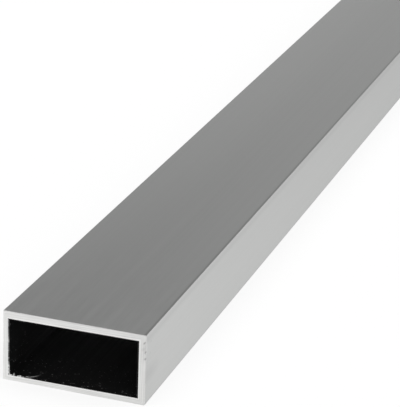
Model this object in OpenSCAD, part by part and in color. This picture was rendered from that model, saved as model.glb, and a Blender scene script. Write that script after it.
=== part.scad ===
// Rectangular aluminium tube: one length of extruded hollow section, sawn square at both ends.
// Millimetres. The tube lies flat on a wide face: width along X, length along Y, height along Z.
// The origin is at the middle of the underside.

/* [Section] */
// Outside width, across the wide faces
tube_width = 40; // [20:1:120]
// Outside height, across the narrow faces
tube_height = 20; // [15:1:80]
// Wall thickness, the same on all four sides
wall = 2; // [1:0.1:5]
// Radius left by the die on the four outside corners
outer_corner_r = 0.15; // [0.1:0.05:1]
// Radius left by the mandrel in the four corners of the bore
inner_corner_r = 0.2; // [0.1:0.05:1]

/* [Stock length] */
// Length between the two saw cuts
tube_length = 1000; // [100:50:3000]

/* [Hidden] */
// Clear width and height of the bore
bore_width = tube_width - 2 * wall;
bore_height = tube_height - 2 * wall;
// Fine enough to draw the small corner radii round
$fn = 48;

// A rectangle centred on the origin, with its corners rounded to radius r
module rounded_rectangle(width, height, r) {
    square([width - 2 * r, height], center = true);
    square([width, height - 2 * r], center = true);
    for (side = [-1, 1], level = [-1, 1])
        translate([side * (width / 2 - r), level * (height / 2 - r)]) circle(r);
}

// The extruded section: the outer outline with the bore taken out of it
module hollow_section() {
    difference() {
        rounded_rectangle(tube_width, tube_height, outer_corner_r);
        rounded_rectangle(bore_width, bore_height, inner_corner_r);
    }
}

// The whole stock: the section carried straight along Y between two square cuts
module tube() {
    color("silver")
        translate([0, tube_length / 2, tube_height / 2])
            rotate([90, 0, 0])
                linear_extrude(tube_length) hollow_section();
}

tube();
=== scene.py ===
# %% [markdown]
# # A rectangular aluminium tube
# The real tube is one length of soft aluminium, pushed hot through a steel die and then sawn to length.
# Its solid is already made and packed, so this lesson only dresses it: one finely divided surface, with
# the marks of the die and of the saw, takes the place of the plain solid.
# Everything is in metres and in the solid's own frame: X across, Y along the tube, Z up.

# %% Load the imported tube
import math

import bpy
import numpy as np
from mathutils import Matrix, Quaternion, Vector


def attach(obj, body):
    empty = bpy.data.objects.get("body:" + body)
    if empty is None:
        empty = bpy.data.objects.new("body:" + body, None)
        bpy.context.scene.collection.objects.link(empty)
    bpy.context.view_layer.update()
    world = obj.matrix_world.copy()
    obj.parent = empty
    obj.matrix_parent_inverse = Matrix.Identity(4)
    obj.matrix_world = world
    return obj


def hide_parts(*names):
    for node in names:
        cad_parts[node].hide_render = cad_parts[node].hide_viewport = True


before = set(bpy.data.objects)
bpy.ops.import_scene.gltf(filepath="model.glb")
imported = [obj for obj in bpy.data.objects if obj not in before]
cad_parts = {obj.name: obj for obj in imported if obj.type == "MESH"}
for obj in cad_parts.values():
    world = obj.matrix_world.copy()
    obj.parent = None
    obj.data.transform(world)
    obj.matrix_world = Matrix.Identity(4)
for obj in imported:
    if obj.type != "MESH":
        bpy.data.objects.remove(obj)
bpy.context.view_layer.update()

# %% [markdown]
# ## The section, measured
# An extruded tube is its section carried along a line, so a handful of sizes describes all of it.
# They could be typed in again here, but a second copy can drift away from the solid.
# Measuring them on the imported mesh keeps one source, because the ends of the flats are exact points of it.

# %% Measure the section on the solid
MM = 0.001
TOUCH = 0.001 * MM

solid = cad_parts["tube"].data
places = np.empty(3 * len(solid.vertices), np.float32)
solid.vertices.foreach_get("co", places)
x, y, z = places.reshape(-1, 3).astype(float).T

width = x.max() - x.min()
height = z.max() - z.min()
front, rear = y.min(), y.max()
length = rear - front
# The flat side starts where the outer corner ends.
outer_radius = z[np.isclose(np.abs(x), width / 2, atol=TOUCH)].min()
# What is left inside the outer outline is the bore.
in_bore = (np.abs(x) < width / 2 - TOUCH) & (np.abs(z - height / 2) < height / 2 - outer_radius - TOUCH)
bore_half = np.abs(x[in_bore]).max()
wall = width / 2 - bore_half
inner_radius = z[in_bore & np.isclose(np.abs(x), bore_half, atol=TOUCH)].min() - wall
print(f"Section {width / MM:.1f} x {height / MM:.1f} mm, wall {wall / MM:.2f} mm, "
      f"corner radii {outer_radius / MM:.2f} and {inner_radius / MM:.2f} mm, length {length / MM:.0f} mm")

# %% [markdown]
# ## The camera
# A product picture of long stock is taken from one end with a long lens, so that the section shows square
# and the far end runs out of the picture. Such a view could be found by eye, but the straight edges of a
# tube fix it well: the place, the three angles and the focal length below bring all nine edges home.

# %% Set up the camera
PHOTO_SIZE = (400, 407)
FOCAL_PIXELS = 2036.6
SENSOR_WIDTH = 36.0
EYE_FROM_FRONT_CUT = Vector((178.03, -448.0, 239.3)) * MM
AZIMUTH, ELEVATION, ROLL = (math.radians(v) for v in (17.949, 21.014, 2.367))

camera_data = bpy.data.cameras.new("tube_camera")
camera_data.sensor_width = SENSOR_WIDTH
camera_data.lens = SENSOR_WIDTH * FOCAL_PIXELS / max(PHOTO_SIZE)
camera = bpy.data.objects.new("tube_camera", camera_data)
back = Vector((math.sin(AZIMUTH) * math.cos(ELEVATION),
               -math.cos(AZIMUTH) * math.cos(ELEVATION),
               math.sin(ELEVATION)))
camera.rotation_mode = "QUATERNION"
camera.rotation_quaternion = (-back).to_track_quat("-Z", "Y") @ Quaternion((0, 0, 1), ROLL)
camera.location = Vector((0, front, 0)) + EYE_FROM_FRONT_CUT
bpy.context.scene.collection.objects.link(camera)
bpy.context.scene.camera = camera
bpy.context.scene.view_settings.view_transform = "Standard"
print(f"Lens {camera_data.lens:.1f} mm, {EYE_FROM_FRONT_CUT.length:.2f} m from the front cut")

# %% [markdown]
# ## Helpers for node trees
# Every finish below is a small tree of nodes. Adding nodes one call at a time soon hides the idea behind
# the bookkeeping, so one helper makes a node, sets its options and either links or sets its sockets.

# %% Node helpers
def add_node(tree, kind, options=None, **sockets):
    """Adds a node; a socket's value is a number, a colour, or another node's output to link.

    A socket goes by its name, with _ for a space, or by _ and its number where several share a name.
    """
    made = tree.nodes.new(kind)
    for name, value in (options or {}).items():
        setattr(made, name, value)
    for name, value in sockets.items():
        key = int(name[1:]) if name[0] == "_" else name.replace("_", " ")
        if isinstance(value, bpy.types.NodeSocket):
            tree.links.new(value, made.inputs[key])
        else:
            made.inputs[key].default_value = value
    return made


def new_material(name):
    """An empty node material and its tree."""
    material = bpy.data.materials.new(name)
    material.use_nodes = True
    material.node_tree.nodes.clear()
    return material, material.node_tree


def show(tree, shader):
    """Makes a shader node what the material shows."""
    add_node(tree, "ShaderNodeOutputMaterial", Surface=shader.outputs[0])


print("Node helpers ready")

# %% [markdown]
# Patterns are mixed by sums. A long chain of nodes is hard to read as a list of links, so each kind of sum
# gets a short name. Noise mostly lies in the middle of its range, and a swing maps that part of it.

# %% Sums in node trees
NOISE_LOW, NOISE_HIGH = 0.3, 0.7


def sum_of(tree, *values):
    """Adds outputs or numbers together, one Math node for each plus sign."""
    total = values[0]
    for value in values[1:]:
        total = add_node(tree, "ShaderNodeMath", {"operation": "ADD"}, _0=total, _1=value).outputs[0]
    return total


def times(tree, a, b):
    """The product of two outputs or numbers."""
    return add_node(tree, "ShaderNodeMath", {"operation": "MULTIPLY"}, _0=a, _1=b).outputs[0]


def size_of(tree, value):
    """A value without its sign."""
    return add_node(tree, "ShaderNodeMath", {"operation": "ABSOLUTE"}, _0=value).outputs[0]


def stretch(tree, value, low, high, to_low, to_high):
    """Maps a value from one range to another, and holds it at both ends."""
    made = add_node(tree, "ShaderNodeMapRange", Value=value)
    for name, number in zip(("From Min", "From Max", "To Min", "To Max"), (low, high, to_low, to_high)):
        made.inputs[name].default_value = number
    return made.outputs[0]


def swing(tree, noise_output, amount, middle=0.0):
    """Maps noise, from where it mostly lies, to an amount below or above a middle."""
    return stretch(tree, noise_output, NOISE_LOW, NOISE_HIGH, middle - amount, middle + amount)


print(f"Noise is read from {NOISE_LOW} to {NOISE_HIGH}")

# %% [markdown]
# ## Light, sky and floor
# Bare metal has hardly any colour of its own: it shows what stands around it. In the picture the upright
# faces are light because they mirror a white floor, and the top is mid grey because it mirrors the dimmer
# room above the floor's edge. Painting those greys on would only hold for one view.
# So the room is made instead: a white band round the horizon, dim walls above it, a lighter ceiling, and
# one broad soft lamp from the front right, which throws the shadow. A photographer keeps a lamp's own
# mirror image out of metal, because it would wash the top out to white from some sides. The lamp's ray
# switch for mirror rays does the same here.

# %% Sky and lamp
WHITE = (1, 1, 1, 1)
HORIZON_WHITE = 1.0
WALL_GREY = 0.18
CEILING_GREY = 0.65
BAND_TOP, WALL_FOOT, WALL_TOP, CEILING_MIDDLE = 0.18, 0.43, 0.62, 1.0
LAMP_STRENGTH = 2.4
LAMP_FROM = Vector((0.6, -0.7, 1.9))
LAMP_SPREAD = math.radians(90)

world = bpy.data.worlds.new("studio")
bpy.context.scene.world = world
world.use_nodes = True
sky = world.node_tree
sky.nodes.clear()
way = add_node(sky, "ShaderNodeTexCoord").outputs["Generated"]
rise = add_node(sky, "ShaderNodeSeparateXYZ", Vector=way).outputs["Z"]
glow = sum_of(sky, stretch(sky, rise, BAND_TOP, WALL_FOOT, HORIZON_WHITE, WALL_GREY),
              stretch(sky, rise, WALL_TOP, CEILING_MIDDLE, 0, CEILING_GREY - WALL_GREY))
backdrop = add_node(sky, "ShaderNodeBackground", Strength=glow, Color=WHITE)
add_node(sky, "ShaderNodeOutputWorld", Surface=backdrop.outputs[0])

lamp_data = bpy.data.lights.new("soft_lamp", "SUN")
lamp_data.energy = LAMP_STRENGTH
lamp_data.angle = LAMP_SPREAD
lamp = bpy.data.objects.new("soft_lamp", lamp_data)
lamp.visible_glossy = False
lamp.rotation_mode = "QUATERNION"
lamp.rotation_quaternion = (-LAMP_FROM).to_track_quat("-Z", "Y")
bpy.context.scene.collection.objects.link(lamp)
print(f"Lamp {math.degrees(math.asin(LAMP_FROM.normalized().z)):.0f} degrees above the floor")

# %% [markdown]
# The floor is a plain pale sheet. More light would turn it white, but would wash out the metal with it.
# So camera rays and mirror rays see it part lit and part self-white: it reads as white paper in every
# view, and it still keeps the tube's soft shadow.

# %% Floor
FLOOR_REACH = 40.0
FLOOR_GAP = 0.05 * MM
FLOOR_COLOUR = (0.93, 0.93, 0.93, 1)
FLOOR_OWN_WHITE = 0.75

floor_mesh = bpy.data.meshes.new("floor")
floor_outline = np.array([(-1, -1, 0), (1, -1, 0), (1, 1, 0), (-1, 1, 0)])
floor_corners = FLOOR_REACH * floor_outline - (0, 0, FLOOR_GAP)
floor_mesh.from_pydata(floor_corners.tolist(), [], [(0, 1, 2, 3)])
floor = bpy.data.objects.new("floor", floor_mesh)
bpy.context.scene.collection.objects.link(floor)

paper, tree = new_material("white_paper")
rays = add_node(tree, "ShaderNodeLightPath").outputs
seen = sum_of(tree, rays["Is Camera Ray"], rays["Is Glossy Ray"], rays["Is Transmission Ray"])
own_share = stretch(tree, seen, 0, 1, 0, FLOOR_OWN_WHITE)
lit = add_node(tree, "ShaderNodeBsdfDiffuse", Color=FLOOR_COLOUR).outputs[0]
own_white = add_node(tree, "ShaderNodeEmission", Color=WHITE, Strength=1.0).outputs[0]
show(tree, add_node(tree, "ShaderNodeMixShader", Fac=own_share, _1=lit, _2=own_white))
floor_mesh.materials.append(paper)
print(f"Floor {2 * FLOOR_REACH:.0f} m across")

# %% [markdown]
# ## Stations round the section
# The section is a rectangle with small round corners. A corner is a centre point with a radius turning
# about it, and a flat is the same radius held still while the centre slides. So one list of nine
# stretches gives the whole walk round the tube, and the same walk fits the outside and the bore.
# It starts in the middle of the underside, where the join of the walk can't be seen.

# %% Walk round the section
FLAT_STEP = 0.2 * MM
CORNER_STEPS = 6

# At each end of a stretch: how far the centre has slid across and upwards, and where the radius points.
slide_x = [0, 1, 1, 1, 1, -1, -1, -1, -1, 0]
slide_z = [-1, -1, -1, 1, 1, 1, 1, -1, -1, -1]
turn = np.radians([-90, -90, 0, 0, 90, 90, 180, 180, 270, 270])

wide_steps = 2 * round((width - 2 * outer_radius) / FLAT_STEP / 2)
high_steps = round((height - 2 * outer_radius) / FLAT_STEP)
stretch_steps = [wide_steps // 2, CORNER_STEPS, high_steps, CORNER_STEPS, wide_steps,
                 CORNER_STEPS, high_steps, CORNER_STEPS, wide_steps // 2]
walk = np.concatenate([np.linspace(start, start + 1, steps, endpoint=False)
                       for start, steps in enumerate(stretch_steps)])
knots = np.arange(len(turn))
centre_x = np.interp(walk, knots, slide_x)
centre_z = np.interp(walk, knots, slide_z)
angle = np.interp(walk, knots, turn)
out_x, out_z = np.cos(angle), np.sin(angle)
stations = len(walk)
print(f"{stations} stations in {len(stretch_steps)} stretches")

# %% [markdown]
# The mandrel that forms the bore gives way a little under the metal's push, so the real bore sits a
# fraction of a millimetre off centre, towards the lower left, and is turned by half a degree. A second
# outline could be drawn for it, but one that shifts on its way through the wall serves both.

# %% Outline of the section
BORE_DRIFT_X, BORE_DRIFT_Z = -0.33 * MM, -0.25 * MM
BORE_TURN = math.radians(0.5)


def outline(inset):
    """Section outline, inset from the skin: centre * (half size - radius) + radius * (cos, sin).

    The nearer the bore, the more of its drift is added, and of its turn: x - turn * z, z + turn * x.
    """
    share = np.clip(inset / wall, 0, 1)
    radius = outer_radius + (inner_radius - outer_radius) * share
    even_x = centre_x * (width / 2 - inset - radius) + radius * out_x
    even_z = centre_z * (height / 2 - inset - radius) + radius * out_z
    across = even_x + share * (BORE_DRIFT_X - BORE_TURN * even_z)
    upward = even_z + share * (BORE_DRIFT_Z + BORE_TURN * even_x) + height / 2
    return across, upward


skin_x, skin_z = outline(0.0)
station_step = np.hypot(np.roll(skin_x, -1) - skin_x, np.roll(skin_z, -1) - skin_z)
girth = station_step.sum()
around = np.cumsum(station_step) - station_step
print(f"The outline is {girth / MM:.1f} mm round")

# %% [markdown]
# ## The path through the wall
# Seen in a cut along the tube, the wall is a long thin strip: along the skin, round the edge of the cut,
# across the cut, back along the bore, and across the other cut. That strip closes on itself, so carrying
# the section along it gives one closed sleeve with no seam to stitch and no pole.
# At each end it goes round a slightly rounded edge, straight across the cut, and over the lip of the bore.

# %% One end of the wall
EDGE_BREAK = 0.10 * MM
EDGE_STEPS = 3
CUT_STEPS = 10
# How far the painted shade of the bore creeps over the cut.
SHADE_CREEP = 0.20 * MM
# The rings on the lip: how deep they lie behind the cut, and how much of the burr they carry.
LIP_DEPTHS = np.array([0.0, 0.12, 0.40]) * MM
LIP_SHARES = np.array([1.0, 0.7, 0.0])

# From the skin to the bore: how far in from the skin, how deep behind the cut, and how much burr.
bend = np.linspace(0, np.pi / 2, EDGE_STEPS + 1)[1:]
cut_line = np.linspace(EDGE_BREAK, wall - SHADE_CREEP, CUT_STEPS + 1)[1:]
end_inset = np.concatenate([EDGE_BREAK * (1 - np.cos(bend)), cut_line, 0 * LIP_DEPTHS + wall])
end_depth = np.concatenate([EDGE_BREAK * (1 - np.sin(bend)), 0 * cut_line, LIP_DEPTHS])
end_lip = np.concatenate([0 * bend, 0 * cut_line, LIP_SHARES])
print(f"{len(end_inset)} rings round each end of the wall")

# %% [markdown]
# Along the tube the rings stand close together near the cuts, where the nicks, the burr and the swarf are,
# and far apart in between. Even steps as fine as that would take a hundred times as many.

# %% Rings along the wall
SKIN_NEAR_CUT = np.array([0.1, 0.25, 0.5, 0.8, 1.2, 2.0, 4.0, 8.0, 16.0]) * MM
BORE_NEAR_CUT = np.array([0.15, 0.3, 0.45, 0.6, 0.75, 0.9, 1.1, 1.3, 1.5, 1.8, 2.2, 4.0, 8.0, 16.0]) * MM
RING_STEP = 50 * MM


def run_between(start, near_cut):
    """Ring places from 'start' behind one cut to 'start' behind the other, close together near both."""
    near = start + np.concatenate([[0], near_cut])
    middle = np.linspace(2 * near_cut[-1], length - 2 * near_cut[-1], round(length / RING_STEP))
    return np.concatenate([near, middle, length - near[::-1]])


skin_run = run_between(EDGE_BREAK, SKIN_NEAR_CUT)
bore_run = run_between(LIP_DEPTHS[-1], BORE_NEAR_CUT)[1:-1]
ring_y = front + np.concatenate([skin_run, length - end_depth, bore_run[::-1], end_depth[::-1]])
ring_inset = np.concatenate([0 * skin_run, end_inset, 0 * bore_run + wall, end_inset[::-1]])
ring_lip = np.concatenate([0 * skin_run, end_lip, 0 * bore_run, end_lip[::-1]])
ring_depth = np.minimum(ring_y - front, rear - ring_y)
in_front = ring_y < (front + rear) / 2
rings = len(ring_y)

# The part of the wall that each row of faces lies on, from the middle between its two rings.
SKIN, REAR_CUT, BORE, FRONT_CUT = range(4)
row_inset = (ring_inset + np.roll(ring_inset, -1)) / 2
row_tests = [row_inset < TOUCH, row_inset > wall - SHADE_CREEP, in_front]
row_part = np.select(row_tests, [SKIN, BORE, FRONT_CUT], REAR_CUT)
print(f"{rings} rings; rows on skin, rear cut, bore and front cut:", np.bincount(row_part).tolist())

# %% [markdown]
# ## Marks of the die and of the saw
# A die is never perfectly smooth, so it leaves shallow lines that run the whole length, and the flats fall
# off a few hundredths of a millimetre towards the corners. The saw leaves a thin burr on the bore's edge,
# and handling leaves small nicks on the outer one. All of these are small offsets of the plain sleeve.
# A sculpted mesh could carry them too, but a formula keeps them in scale.

# %% Offsets round the section
SEED = 7
FIRST_WAVE = 3
DIE_LINE_DEPTH = 0.0015 * MM
DIE_WAVES, DIE_FALL_OFF = 140, 0.6
SHOULDER_DROP = 0.018 * MM
SHOULDER_WIDTH = 0.45 * MM
random_source = np.random.default_rng(SEED)


def ragged(waves, fall_off):
    """A closed ragged line round the section, brought to lie between 0 and 1.

    It is the sum of cos(count * turn + random phase) / count to the power of 'fall_off'.
    """
    count = np.arange(FIRST_WAVE, waves)
    phase = random_source.uniform(0, 2 * np.pi, len(count))
    line = (np.cos(2 * np.pi * np.outer(around / girth, count) + phase) / count**fall_off).sum(1)
    return (line - line.min()) / (line.max() - line.min())


flat_across = width / 2 - outer_radius - np.abs(skin_x)
flat_upward = height / 2 - outer_radius - np.abs(skin_z - height / 2)
from_corner = np.maximum(np.maximum(flat_across, flat_upward), 0)
shoulder = SHOULDER_DROP * np.clip(1 - from_corner / SHOULDER_WIDTH, 0, 1) ** 2
skin_marks = DIE_LINE_DEPTH * ragged(DIE_WAVES, DIE_FALL_OFF) + shoulder
bore_marks = DIE_LINE_DEPTH * ragged(DIE_WAVES, DIE_FALL_OFF)
print(f"Skin marks up to {skin_marks.max() / MM:.3f} mm deep")

# %% [markdown]
# The burr is a ragged lip that stands into the bore. It is thin nearly everywhere. The blade left the cut
# on the left, so there it swells twice, and in the lower left corner a few torn teeth stand up. Behind the
# torn metal the wall is scraped bare before the painted shade of the bore begins.

# %% Burr and torn metal
BURR_HEIGHT = 0.04 * MM
BURR_WAVES, BURR_FALL_OFF = 260, 0.3
BARE_DEPTH = 0.30 * MM
BARE_FALL_OFF_REAR, BARE_FALL_OFF_FRONT = 0.5, 0.4
# On a flat, the walk's centre and its radius are both all the way out.
ALL_OUT = 0.999
# Torn metal on the bore's edge: right of and above its lower left corner, height, half width, bare depth.
TORN = np.array([(0, 9.8, 0.04, 0.5, 0.20), (0, 2.3, 0.14, 0.9, 0.45), (0, 0.5, 0.16, 0.6, 0.30),
                 (0.7, 0, 0.16, 0.60, 0.30), (1.6, 0, 0.80, 0.23, 0.24), (2.8, 0, 0.26, 0.25, 0.45),
                 (3.4, 0, 0.40, 0.25, 0.60), (4.2, 0, 0.12, 0.40, 0.20), (6.0, 0, 0.10, 0.90, 0.10)]) * MM


def hump(edge, across, upward, half_width):
    """A smooth hump on an outline about one of its points: exp(-(distance / half width) squared)."""
    edge_x, edge_z = edge
    return np.exp(-((edge_x - across) ** 2 + (edge_z - upward) ** 2) / half_width**2)


bore_edge = outline(wall)
corner_x, corner_z = bore_edge[0].min(), bore_edge[1].min()
on_left = (centre_x < -ALL_OUT) & (out_x < -ALL_OUT)
burr_rear = BURR_HEIGHT * ragged(BURR_WAVES, BURR_FALL_OFF)
bare_rear = BARE_DEPTH * ragged(BURR_WAVES, BARE_FALL_OFF_REAR) * ~on_left
burr_front = BURR_HEIGHT * ragged(BURR_WAVES, BURR_FALL_OFF)
bare_front = BARE_DEPTH * ragged(BURR_WAVES, BARE_FALL_OFF_FRONT) * on_left
for right_of, above, tall, half_width, bare_depth in TORN:
    tooth = hump(bore_edge, corner_x + right_of, corner_z + above, half_width)
    burr_front = burr_front + tall * tooth
    bare_front = bare_front + bare_depth * tooth
print(f"Burr up to {burr_front.max() / MM:.2f} mm, bare up to {bare_front.max() / MM:.2f} mm deep")

# %% [markdown]
# On the right the outer edge has been knocked: three nicks, and a worn stretch between them. On the floor
# of the bore lies a curl of swarf, a thin strip that the saw has left. It could be a piece of its own, but
# it sticks to the wall and is a few tenths of a millimetre wide, so it is a ridge of the same sleeve.

# %% Nicks and swarf
# Knocks on the right edge of the front cut: height above the floor, inset from the side, reach, half width.
NICKS = np.array([(18.1, 0.42, 0.26, 0.26), (15.25, 0.0, 0.34, 0.26), (13.35, 0.08, 0.32, 0.28)]) * MM
NICK_DEPTH = 0.08 * MM
WORN = np.array([(16.0, 0.15, 0.45, 2.6), (16.4, 0.65, 0.55, 0.55)]) * MM
WORN_DEPTH = 0.05 * MM
# Along the curl: distances from the left wall, and how much bare metal it shows there.
SWARF_PLACES = np.array([4.6, 5.1, 5.7, 6.2, 7.2, 8.0]) * MM
SWARF_SHARES = np.array([0, 1, 0.35, 0.8, 0.7, 0])
SWARF_FOOT = SWARF_PLACES[1]
SWARF_START = 0.50 * MM
SWARF_BEND = 0.28 / MM
SWARF_HALF_WIDTH = 0.17 * MM
SWARF_HEIGHT = 0.15 * MM


def knocked(rows):
    """Marks on the right edge: hump along the edge * exp(-(distance from the mark / reach) squared)."""
    total = np.zeros((rings, stations))
    for level, edge_inset, reach, half_width in rows:
        from_line = np.exp(-((ring_inset - edge_inset) ** 2 + (ring_y - front) ** 2) / reach**2)
        total += np.outer(from_line, hump((skin_x, skin_z), width / 2, level, half_width))
    return total


def curl_of_swarf():
    """A strip on the bore's floor: share along it * exp(-(off its middle line / half width) squared).

    Its middle line bends away from the cut: depth = start + bend * (distance from its foot) squared.
    """
    on_floor = (centre_z < -ALL_OUT) & (out_z < -ALL_OUT)
    from_left = bore_edge[0] - corner_x
    shares = np.interp(from_left, SWARF_PLACES, SWARF_SHARES) * on_floor
    middle_line = SWARF_START + SWARF_BEND * (from_left - SWARF_FOOT) ** 2
    off_line = (ring_y - front)[:, None] - middle_line
    return bore_share * shares * np.exp(-((off_line / SWARF_HALF_WIDTH) ** 2))


skin_share = np.clip(1 - ring_inset / EDGE_BREAK, 0, 1)[:, None]
bore_share = (ring_inset > wall - TOUCH)[:, None]
nicked, worn, swarf = knocked(NICKS), knocked(WORN), curl_of_swarf()
dent = NICK_DEPTH * nicked + WORN_DEPTH * worn
print(f"Dents up to {dent.max() / MM:.2f} mm, swarf up to {SWARF_HEIGHT * swarf.max() / MM:.2f} mm high")

# %% [markdown]
# ## The sleeve
# Two parameters give every point: the station round the section and the ring along the wall's path.
# A loop over the points would be slow, so all of them are worked out at once, as whole arrays.

# %% Place the points
SIDE_CREEP = 0.17 * MM

# Inward is towards the middle of the tube: into the metal on the skin, and out of it in the bore.
burr = ring_lip[:, None] * np.where(in_front[:, None], burr_front, burr_rear)
inward = skin_share * (skin_marks + dent) + SWARF_HEIGHT * swarf - bore_share * bore_marks + burr
# On the side walls the painted shade of the bore creeps further over the cut, so the rings across the cut
# crowd together.
cut_share = (ring_inset - EDGE_BREAK) / (wall - SHADE_CREEP - EDGE_BREAK)
crowding = np.where(ring_inset < wall - TOUCH, np.clip(cut_share, 0, 1), 0)
inset = ring_inset[:, None] - SIDE_CREEP * np.outer(crowding, out_x**2)
plain_x, plain_z = outline(inset)
sleeve_x = plain_x - inward * out_x
sleeve_y = ring_y[:, None] + dent
sleeve_z = plain_z - inward * out_z

points = np.stack([sleeve_x, sleeve_y, sleeve_z], -1).reshape(-1, 3)
print(f"{len(points)} points on {rings} rings")

# %% [markdown]
# The points are joined into four-sided faces, and the last ring and the last station are joined back to
# the first ones, so nothing has to be stitched. The volume is a quick test: it is positive only where a
# closed mesh faces outwards.

# %% Join the points
grid = np.arange(rings * stations).reshape(rings, stations)
next_ring, next_station = np.roll(grid, -1, 0), np.roll(grid, -1, 1)
beyond = np.roll(next_ring, -1, 1)
# Going along the tube before going round it turns the faces outwards.
faces = np.stack([grid, next_ring, beyond, next_station], -1).reshape(-1, 4)

tube_mesh = bpy.data.meshes.new("tube_sleeve")
tube_mesh.from_pydata(points.tolist(), [], faces.tolist())
tube_mesh.polygons.foreach_set("use_smooth", np.ones(len(faces), bool))
tube = bpy.data.objects.new("tube_sleeve", tube_mesh)
bpy.context.scene.collection.objects.link(tube)

p, q, r, s = points[faces].transpose(1, 0, 2)
volume = ((p * np.cross(q, r)).sum() + (p * np.cross(r, s)).sum()) / 6
print(f"{len(faces)} faces, {volume / MM**3:.0f} cubic millimetres of metal")

# %% [markdown]
# ## A flat map of the sleeve
# Finishes that are painted into a picture need a flat map. An automatic unwrap cuts a long tube into many
# islands that lie at odd angles, which blurs its lengthwise lines. The sleeve is a grid already, so it
# opens into four straight sheets: the skin, the bore, and a narrow strip for each cut.
# The skin gets most of the width, because its lines are fine across the tube and long along it. The small
# marks sit near the cuts, so along the tube the two ends get far more room than the plain middle.

# %% Lay out the map
# Each sheet's left, right, bottom and top in the unit square: skin, rear cut, bore, front cut.
SHEETS = np.array([(0.01, 0.70, 0.01, 0.88), (0.01, 0.70, 0.95, 0.99),
                   (0.72, 0.99, 0.01, 0.99), (0.01, 0.70, 0.90, 0.94)])
# Along the skin and the bore, each end of this reach gets this share of the sheet.
END_REACH = 32 * MM
END_SHARE = 0.3

row_length = np.hypot(np.roll(ring_y, -1) - ring_y, np.roll(ring_inset, -1) - ring_inset)
row_end = np.cumsum(row_length)
row_start = row_end - row_length
parts = range(len(SHEETS))
sheet_start = np.array([row_start[row_part == part].min() for part in parts])[row_part]
sheet_end = np.array([row_end[row_part == part].max() for part in parts])[row_part]
sheet_left, sheet_right, sheet_low, sheet_high = SHEETS[row_part].T

# A face's corners go to the next ring here, on to the next station there, and back to the first ring.
# The map runs against the walk, so that it shows the metal as seen from outside and not mirrored.
here, there = 1 - around / girth, 1 - (around + station_step) / girth
u_share = np.stack([here, here, there, there], -1)
v_ends = np.stack([row_start, row_end, row_end, row_start], -1)
v_share = (v_ends - sheet_start[:, None]) / (sheet_end - sheet_start)[:, None]
end_part = END_REACH / length
roomy_ends = np.interp(v_share, [0, end_part, 1 - end_part, 1], [0, END_SHARE, 1 - END_SHARE, 1])
v_share = np.where(np.isin(row_part, (SKIN, BORE))[:, None], roomy_ends, v_share)
u = sheet_left[:, None, None] + (sheet_right - sheet_left)[:, None, None] * u_share
v = (sheet_low[:, None] + (sheet_high - sheet_low)[:, None] * v_share)[:, None, :]
flat_map = np.stack(np.broadcast_arrays(u, v), -1).astype(np.float32)
tube_mesh.uv_layers.new(name="OFBake").uv.foreach_set("vector", flat_map.ravel())
print(f"Map spans {flat_map.min():.2f} to {flat_map.max():.2f} in {len(SHEETS)} sheets")

# %% [markdown]
# ## Marks that the finishes read
# Some marks are tied to the wall itself and not to a place in the room: how far across the wall a point is,
# where the wall is scraped bare or worn, where a nick is darker, and where the swarf lies. Two more are
# painted light: painted shade beside the corners, with extra lines beside the upper ones, and a painted
# highlight along the bore's edge of the cut. A painted picture could hold all this, but the points of the
# sleeve are there already. So each mark is one number per point, kept on the mesh under a name, and the
# finishes look it up.

# %% Keep the marks on the points
BARE_FADE = 0.35 * MM
# Painted shade in lines along the corners: distance from the corner, half width, and strength.
CORNER_SHADE_LINE = (0.0 * MM, 0.30 * MM, 1.0)
TOP_SHADE_LINE = (0.28 * MM, 0.25 * MM, 2.4)
SIDE_SHADE_LINE = (1.60 * MM, 0.75 * MM, 0.6)
SIDE_SHADE_FADE = (0.0 * MM, 1.5 * MM, 0.6)
# How wide the painted highlight along the bore's edge of the cut is.
RIM_HIGHLIGHT_WIDTH = 0.28 * MM


def shade_line(from_edge, half_width, strength):
    """A line of painted shade along the tube beside a corner: strength * exp(-(off the line / half width)
    squared).
    """
    return strength * np.exp(-(((from_corner - from_edge) / half_width) ** 2))


bare_reach = np.where(in_front[:, None], bare_front, bare_rear)
on_upper_side = (np.abs(out_x) > np.abs(out_z)) & (skin_z > height / 2)
on_top_right = (out_z > np.abs(out_x)) & (skin_x > 0)
shades_by_face = [shade_line(*SIDE_SHADE_LINE) + shade_line(*SIDE_SHADE_FADE), shade_line(*TOP_SHADE_LINE)]
marks = {
    "bare": np.clip((bare_reach - ring_depth[:, None]) / BARE_FADE, 0, 1),
    # The corner mark is painted shade beside the corners.
    "corner": np.select([on_upper_side, on_top_right], shades_by_face, shade_line(*CORNER_SHADE_LINE)),
    # The rim is a painted highlight along the bore's edge of the cut.
    "rim_highlight": np.exp(-(((wall - SHADE_CREEP - ring_inset) / RIM_HIGHLIGHT_WIDTH) ** 2))[:, None],
    "across_wall": (ring_inset / wall)[:, None],
    # Where the nicks are darker.
    "nick_darkening": nicked,
    "worn": worn,
    "swarf": swarf,
}
for name, values in marks.items():
    spread = np.broadcast_to(values, (rings, stations)).astype(np.float32)
    tube_mesh.attributes.new(name, "FLOAT", "POINT").data.foreach_set("value", spread.ravel())
print("Marks kept:", ", ".join(marks))

# %% [markdown]
# ## Patterns for the finishes
# The three finishes share a few patterns. All of them read the tube's own coordinates or its points and
# never the view, so a pattern stays on the metal from any side, and runs on over the corners by itself.
# The first ones are noise, and noise that is drawn out along the tube.

# %% Places and noise
def on_tube(tree):
    """The place on the tube, in its own coordinates."""
    return add_node(tree, "ShaderNodeTexCoord").outputs["Object"]


def split(tree, place):
    """A place's three numbers: across, along and upwards."""
    numbers = add_node(tree, "ShaderNodeSeparateXYZ", Vector=place).outputs
    return numbers["X"], numbers["Y"], numbers["Z"]


def noise(tree, place, **sockets):
    """Smooth noise at a place."""
    return add_node(tree, "ShaderNodeTexNoise", Vector=place, **sockets).outputs["Fac"]


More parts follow.
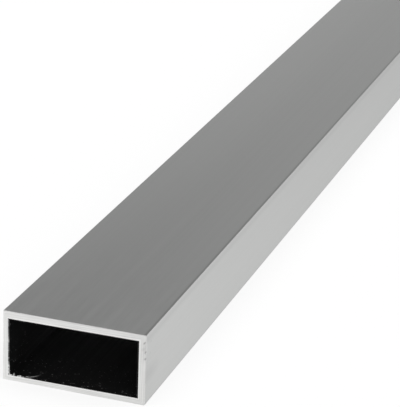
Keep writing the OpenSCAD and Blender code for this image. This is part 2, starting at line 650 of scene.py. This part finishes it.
def along_lines(tree, wide, long):
    """Noise that varies over 'wide' across the section and over 'long' along the tube."""
    scale = (1 / wide, 1 / long, 1 / wide)
    drawn_out = add_node(tree, "ShaderNodeMapping", Vector=on_tube(tree), Scale=scale).outputs[0]
    return noise(tree, drawn_out, Scale=1.0, Detail=2.0, Roughness=0.6)


print("Noise helpers ready")

# %% [markdown]
# The others are soft spots, the nearness of a cut, the marks on the points, shades of a colour, and
# ripples that are too fine for the mesh.

# %% Spots, marks and shades
RIPPLE_DEPTH = 0.02 * MM


def local_to(tree, place, centre, reach=(1, 1, 1)):
    """A place as seen from a centre, in units of a reach: (place - centre) / reach."""
    return add_node(tree, "ShaderNodeMapping", {"vector_type": "TEXTURE"}, Vector=place,
                    Location=centre, Scale=reach).outputs[0]


def distance(tree, place):
    """How far a place is from zero."""
    return add_node(tree, "ShaderNodeVectorMath", {"operation": "LENGTH"}, _0=place).outputs["Value"]


def spot(tree, centre, reach):
    """1 at a centre, falling to 0 on an ellipsoid about it: 1 - length of (place - centre) / reach."""
    return stretch(tree, distance(tree, local_to(tree, on_tube(tree), centre, reach)), 0, 1, 1, 0)


def near_cuts(tree, along, reach):
    """1 at both cuts, falling to 0 at a reach behind them."""
    return stretch(tree, size_of(tree, along), length / 2 - reach, length / 2, 0, 1)


def mark(tree, name):
    """A number that was kept on the points."""
    return add_node(tree, "ShaderNodeAttribute", {"attribute_name": name}).outputs["Fac"]


def tinted(tree, colour, level):
    """A colour made lighter or darker by a level around 1."""
    return add_node(tree, "ShaderNodeVectorMath", {"operation": "SCALE"}, _0=colour, Scale=level).outputs[0]


def ripple(tree, relief, strength):
    """The surface's direction, disturbed by a relief that is too fine for the mesh."""
    made = add_node(tree, "ShaderNodeBump", Height=relief, Strength=strength, Distance=RIPPLE_DEPTH)
    return made.outputs[0]


print("Pattern helpers ready")

# %% [markdown]
# ## The skin
# Mill finish is bare metal as it leaves the die: dull, with faint lines along the length that differ in
# gloss more than in colour. A brushed picture would give them too, but it would repeat. Noise drawn out
# along Y doesn't: three widths of it make broad bands, lines, and hair lines. Beside the cuts the saw's
# clamp has left shorter scuffs, mostly on the top.

# %% Lines and scuffs on the skin
# Each kind of line: how wide it is across the tube, and how long.
BANDS, LINES = (5 * MM, 900 * MM), (0.9 * MM, 500 * MM)
HAIRS, SCUFFS = (0.22 * MM, 160 * MM), (1.6 * MM, 18 * MM)
# How much lighter or darker they and the marks on the points make the metal.
# The corner tint is painted shade beside the corners.
BAND_TINT, LINE_TINT, CORNER_SHADE_TINT, SKIN_NICK_TINT = 0.008, 0.012, -0.10, -0.55
# Scuffs: strength on top and side, where the one passes into the other below the top, and reach.
SCUFF_TOP, SCUFF_SIDE = 0.036, 0.008
SCUFF_TOP_END, SCUFF_SIDE_START = 0.1 * MM, 0.5 * MM
SCUFF_REACH = 60 * MM

mill_finish, tree = new_material("mill_finish")
_, along, upward = split(tree, on_tube(tree))
bands, lines = along_lines(tree, *BANDS), along_lines(tree, *LINES)
hairs, scuffs = along_lines(tree, *HAIRS), along_lines(tree, *SCUFFS)
scuff = stretch(tree, upward, height - SCUFF_SIDE_START, height - SCUFF_TOP_END, SCUFF_SIDE, SCUFF_TOP)
scuff = times(tree, near_cuts(tree, along, SCUFF_REACH), scuff)
level = sum_of(tree, swing(tree, bands, BAND_TINT, 1.0), swing(tree, lines, LINE_TINT),
               times(tree, swing(tree, scuffs, 1.0), scuff),
               # painted shade beside the corners
               times(tree, mark(tree, "corner"), CORNER_SHADE_TINT),
               # darker in the nicks
               times(tree, mark(tree, "nick_darkening"), SKIN_NICK_TINT))
print("Lines on the skin:", len(tree.nodes), "nodes")

# %% [markdown]
# Handling leaves single marks as well: broad light and dark streaks on the top, and touches on the right
# side near the cut. They could be painted by hand, but each is one soft spot, so two short tables of places
# and sizes hold them all, and a row is easy to change. A few rows are painted light and shade, not marks:
# the two broadest light streaks on the top, and the first two rows on the side.

# %% Streaks and touches on the skin
# Streaks on the top: place across, distance from the front cut, half width, half length, and lightness.
# The rows at 18 and -20 mm across are painted light: the top is lighter by its right edge near the front
# cut, and on its left, more so further from the front cut.
TOP_STREAKS_AND_LIGHT = ((1.9, 0, 1.3, 130, 0.035), (7.8, 0, 1.2, 35, 0.03), (-7.2, 0, 1.1, 30, -0.03),
           (18.0, 0, 12.0, 200, 0.055), (-20.0, 300, 22.0, 500, 0.065), (-8.0, 30, 10.0, 110, -0.03))
# Marks on the right side: distance from the front cut, height, half length, half height, and lightness.
# The first row is painted shade on the side near the cut; the second is painted light, lighter towards the
# floor along the side.
SIDE_TOUCHES_LIGHT_AND_SHADE = ((0.0, 9.0, 14.0, 16.0, -0.02), (150.0, -2.0, 500.0, 16.0, 0.05),
              (3.0, 8.2, 9.0, 3.0, -0.09), (0.6, 16.6, 1.6, 1.8, 0.05),
              (3.7, 16.9, 0.7, 0.5, -0.10), (3.2, 13.7, 0.7, 0.5, -0.08))
MARK_DEPTH = 1 * MM

for from_middle, from_cut, half_width, half_length, lighter in TOP_STREAKS_AND_LIGHT:
    centre = (from_middle * MM, front + from_cut * MM, height)
    streak = spot(tree, centre, (half_width * MM, half_length * MM, MARK_DEPTH))
    level = sum_of(tree, level, times(tree, streak, lighter))
for from_cut, above_floor, half_length, half_height, lighter in SIDE_TOUCHES_LIGHT_AND_SHADE:
    centre = (width / 2, front + from_cut * MM, above_floor * MM)
    touched = spot(tree, centre, (MARK_DEPTH, half_length * MM, half_height * MM))
    level = sum_of(tree, level, times(tree, touched, lighter))
print(len(TOP_STREAKS_AND_LIGHT), "streaks on the top,", len(SIDE_TOUCHES_LIGHT_AND_SHADE), "touches on the side")

# %% [markdown]
# What is left is the metal itself. Its gloss swings a little with the lines, and the finest of them show
# as a ripple. The dull oxide swallows light at a low angle. A grey coat could do that, but metal has a
# tint of its own for low angles, and turning that down is enough.

# %% Mill finish
SKIN_COLOUR = (0.742, 0.748, 0.740)
SKIN_GRAZING = (0.54, 0.54, 0.54, 1)
SKIN_ROUGHNESS = 0.30
BAND_GLOSS, LINE_GLOSS, HAIR_GLOSS = 0.005, 0.005, 0.01
LINE_RELIEF, SKIN_RIPPLE = 0.6, 0.06

gloss = sum_of(tree, swing(tree, bands, BAND_GLOSS), swing(tree, lines, LINE_GLOSS),
               swing(tree, hairs, HAIR_GLOSS, SKIN_ROUGHNESS))
relief = sum_of(tree, times(tree, lines, LINE_RELIEF), hairs)
show(tree, add_node(tree, "ShaderNodeBsdfPrincipled", Base_Color=tinted(tree, SKIN_COLOUR, level),
                    Metallic=1.0, Roughness=gloss, Specular_Tint=SKIN_GRAZING,
                    Normal=ripple(tree, relief, SKIN_RIPPLE)))
print("Mill finish on the skin:", len(tree.nodes), "nodes")

# %% [markdown]
# ## The saw cut
# A fresh cut looks brighter than the skin, because its rough face scatters the light of floor and lamp
# instead of mirroring one place. The teeth leave fine arcs across it. They could be cut into the mesh, but
# they are finer than its rings. Rings about the far centre of the blade give those arcs, and noise breaks
# them up so that no two teeth look alike. Lines that follow the wall are left by the deburring brush. The
# bright rim next to the bore is a painted highlight, and the cut is painted a little brighter towards the
# left and darker towards the right, as painted light and shade.

# %% Sawn metal
CUT_COLOUR = (0.795, 0.795, 0.785)
CUT_ROUGHNESS = 0.56
SAW_RADIUS = 150 * MM
SAW_HUB_X = 30 * MM
TOOTH_STEP = 0.45 * MM
TOOTH_WANDER = 1.5
PATCH = 3 * MM
BRUSH_LINES, BRUSH_LENGTH = 7.0, 14 * MM
# How much each mark changes the lightness, the gloss and the relief.
# Painted light and shade: the cut is lighter on the left and darker on the right.
LEFT_LIGHT_LEVEL, RIGHT_SHADE_LEVEL = 1.062, 0.98
# The rim's tint is a painted highlight next to the bore.
TOOTH_TINT, PATCH_TINT, BRUSH_TINT, RIM_HIGHLIGHT_TINT = 0.03, 0.02, 0.09, 0.13
# How much darker the nicks are on the cut.
CUT_NICK_TINT, WORN_TINT = -0.50, -0.12
TOOTH_GLOSS, TOOTH_RIPPLE = 0.06, 0.4

sawn_metal, tree = new_material("sawn_metal")
place = on_tube(tree)
across, _, upward = split(tree, place)
from_hub = local_to(tree, place, (SAW_HUB_X, 0, height - SAW_RADIUS))
in_plane = add_node(tree, "ShaderNodeVectorMath", {"operation": "MULTIPLY"}, _0=from_hub, _1=(1, 0, 1))
hub_distance = distance(tree, in_plane.outputs[0])
patchy = noise(tree, place, Scale=1 / PATCH, Detail=3.0)
arc = add_node(tree, "ShaderNodeCombineXYZ", X=times(tree, hub_distance, 1 / TOOTH_STEP),
               Y=times(tree, patchy, TOOTH_WANDER))
teeth = noise(tree, arc.outputs[0], Scale=1.0, Detail=3.0)
stroke = add_node(tree, "ShaderNodeCombineXYZ", X=times(tree, mark(tree, "across_wall"), BRUSH_LINES),
                  Y=times(tree, sum_of(tree, across, upward), 1 / BRUSH_LENGTH))
brushed = noise(tree, stroke.outputs[0], Scale=1.0, Detail=1.0)
# Lighter on the left and darker on the right: painted light and shade.
level = sum_of(tree, stretch(tree, across, -width / 2, width / 2, LEFT_LIGHT_LEVEL, RIGHT_SHADE_LEVEL),
               swing(tree, teeth, TOOTH_TINT), swing(tree, patchy, PATCH_TINT),
               swing(tree, brushed, BRUSH_TINT), times(tree, mark(tree, "rim_highlight"), RIM_HIGHLIGHT_TINT),
               times(tree, mark(tree, "nick_darkening"), CUT_NICK_TINT), times(tree, mark(tree, "worn"), WORN_TINT))
gloss = swing(tree, teeth, TOOTH_GLOSS, CUT_ROUGHNESS)
show(tree, add_node(tree, "ShaderNodeBsdfPrincipled", Base_Color=tinted(tree, CUT_COLOUR, level),
                    Metallic=1.0, Roughness=gloss, Normal=ripple(tree, teeth, TOOTH_RIPPLE)))
print("Sawn metal on both cuts:", len(tree.nodes), "nodes")

# %% [markdown]
# ## The bore
# Little light gets into a long thin tube, and its inside looks nearly black up to the edge of the cut.
# Bare metal could be left in the dark instead, but then it would light up from some sides. So the wall is
# given a dull, nearly black colour, a painted shade that looks the same from every side. It is darkest near
# the cut and painted lighter deeper in. It gives way to bare metal where the marks say the wall is scraped,
# a few grains of sawdust stick to it, and the curl of swarf on it is bare metal.

# %% Dark bore
# The bore's colour is painted shade: nearly black, standing in for the shade inside the tube.
BORE_SHADE_COLOUR = (0.0035, 0.0035, 0.0036)
BORE_SHADE_ROUGHNESS, BORE_SHADE_SHINE, BORE_SHADE_RIPPLE = 0.75, 0.2, 0.3
BORE_SHADE_LINES, BORE_SHADE_LINE_TINT = (0.9 * MM, 300 * MM), 0.2
# Painted light: with each step into the bore the painted shade is lighter by the same gain, and after the
# last step it stays so.
BORE_LIGHTENING_GAIN, BORE_LIGHTENING_STEP, BORE_LIGHTENING_STEPS = 3.0, 10 * MM, 4.2
# Towards the side walls, which catch more light, it lightens more slowly, as painted shade: from where, to
# where, how much.
SIDE_START, SIDE_END, SIDE_WALL_SHADE = 1.5 * MM, 0.5 * MM, 0.93
SCRAPED_COLOUR = (0.62, 0.62, 0.614, 1)
# Grains show where the speckle is high, and torn metal is darker where it is low.
GRAIN, GRAIN_REACH = 0.5 * MM, 22 * MM
GRAIN_LOW, GRAIN_HIGH, GRAIN_SHARE = 0.71, 0.77, 0.50
TORN_LOW, TORN_HIGH, TORN_LEAST = 0.35, 0.6, 0.5

# A material of painted shade for the bore.
painted_dark_bore, tree = new_material("painted_dark_bore")
place = on_tube(tree)
across, along, _ = split(tree, place)
lines = along_lines(tree, *BORE_SHADE_LINES)
speckle = noise(tree, place, Scale=1 / GRAIN, Detail=1.0)
deepest = length / 2 - BORE_LIGHTENING_STEPS * BORE_LIGHTENING_STEP
# Painted light deeper in the bore, held back on the side walls by painted shade.
steps_in = stretch(tree, size_of(tree, along), deepest, length / 2, BORE_LIGHTENING_STEPS, 0)
by_side = stretch(tree, size_of(tree, across), bore_half - SIDE_START, bore_half - SIDE_END, 1, SIDE_WALL_SHADE)
steps_in = times(tree, steps_in, by_side)
lighter_deeper = add_node(tree, "ShaderNodeMath", {"operation": "POWER"}, _0=BORE_LIGHTENING_GAIN, _1=steps_in).outputs[0]
painted_shade = tinted(tree, BORE_SHADE_COLOUR, times(tree, lighter_deeper, swing(tree, lines, BORE_SHADE_LINE_TINT, 1.0)))
grains = times(tree, stretch(tree, speckle, GRAIN_LOW, GRAIN_HIGH, 0, GRAIN_SHARE),
               near_cuts(tree, along, GRAIN_REACH))
torn = times(tree, mark(tree, "bare"), stretch(tree, speckle, TORN_LOW, TORN_HIGH, TORN_LEAST, 1.0))
scraped = sum_of(tree, grains, torn, mark(tree, "swarf"))
# A colour mix has its two colours in sockets 6 and 7 and its result in output 2.
colour = add_node(tree, "ShaderNodeMix", {"data_type": "RGBA"}, Factor=scraped, _6=painted_shade, _7=SCRAPED_COLOUR)
show(tree, add_node(tree, "ShaderNodeBsdfPrincipled", Base_Color=colour.outputs[2], Metallic=0.0,
                    Roughness=BORE_SHADE_ROUGHNESS, Specular_IOR_Level=BORE_SHADE_SHINE,
                    Normal=ripple(tree, lines, BORE_SHADE_RIPPLE)))
print("Dark film in the bore:", len(tree.nodes), "nodes")

# %% [markdown]
# ## Finishes on the sleeve
# Each row of faces takes the finish of the part of the wall that it lies on. The rows are known already,
# so nothing has to be picked out by its place or direction.

# %% Assign the finishes
for finish in (mill_finish, sawn_metal, painted_dark_bore):
    tube_mesh.materials.append(finish)
# The finish of the skin, the rear cut, the bore and the front cut.
finish_of_part = np.array([0, 1, 2, 1])
face_finish = np.repeat(finish_of_part[row_part], stations).astype(np.int32)
tube_mesh.polygons.foreach_set("material_index", face_finish)
print("Faces by finish:", np.bincount(face_finish).tolist())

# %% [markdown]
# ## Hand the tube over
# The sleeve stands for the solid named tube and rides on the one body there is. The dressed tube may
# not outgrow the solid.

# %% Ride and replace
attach(tube, "root")
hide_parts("tube")
